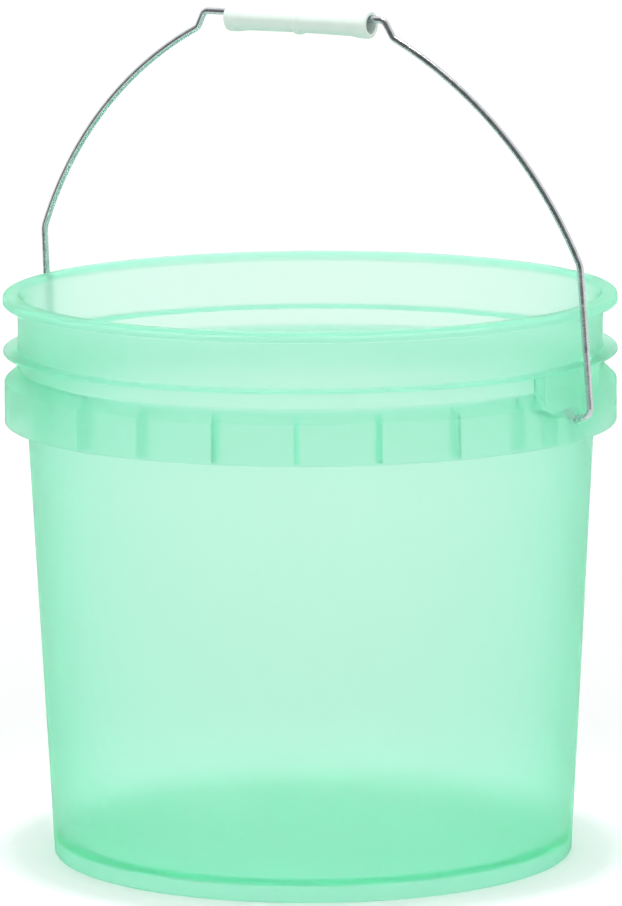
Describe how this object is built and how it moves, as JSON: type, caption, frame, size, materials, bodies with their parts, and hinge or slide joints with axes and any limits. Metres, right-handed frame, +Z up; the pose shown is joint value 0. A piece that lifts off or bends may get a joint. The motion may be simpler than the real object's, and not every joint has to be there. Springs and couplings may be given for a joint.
{
  "type": "wash bucket",
  "caption": "Open translucent plastic wash bucket with a ribbed collar, a rolled rim and a swinging wire bail that carries a turning tubular grip.",
  "frame": {"origin": "centre of the foot ring's resting plane, on the pail's axis", "axes": "+Z up along the pail's axis, X through both bail ears, -Y the side towards which the bail leans at rest"},
  "size_m": [0.3196, 0.305, 0.4247],
  "materials": {
    "pail_plastic": "satin, translucent mint green polypropylene",
    "bail_wire": "bright zinc plated drawn wire",
    "grip_plastic": "satin white polyethylene"
  },
  "bodies": {
    "pail": {"pail": "pail_plastic"},
    "bail": {"bail": "bail_wire"},
    "grip": {"grip": "grip_plastic"}
  },
  "joints": [
    {"name": "bail_swing", "type": "hinge", "parent": "pail", "child": "bail", "pos_m": [0, 0, 0.2292], "axis": [1, 0, 0], "range_deg": [-136, 125.5]},
    {"name": "grip_spin", "type": "hinge", "parent": "bail", "child": "grip", "pos_m": [0.0057, -0.01683, 0.41774], "axis": [1, 0, 0], "continuous": true}
  ]
}
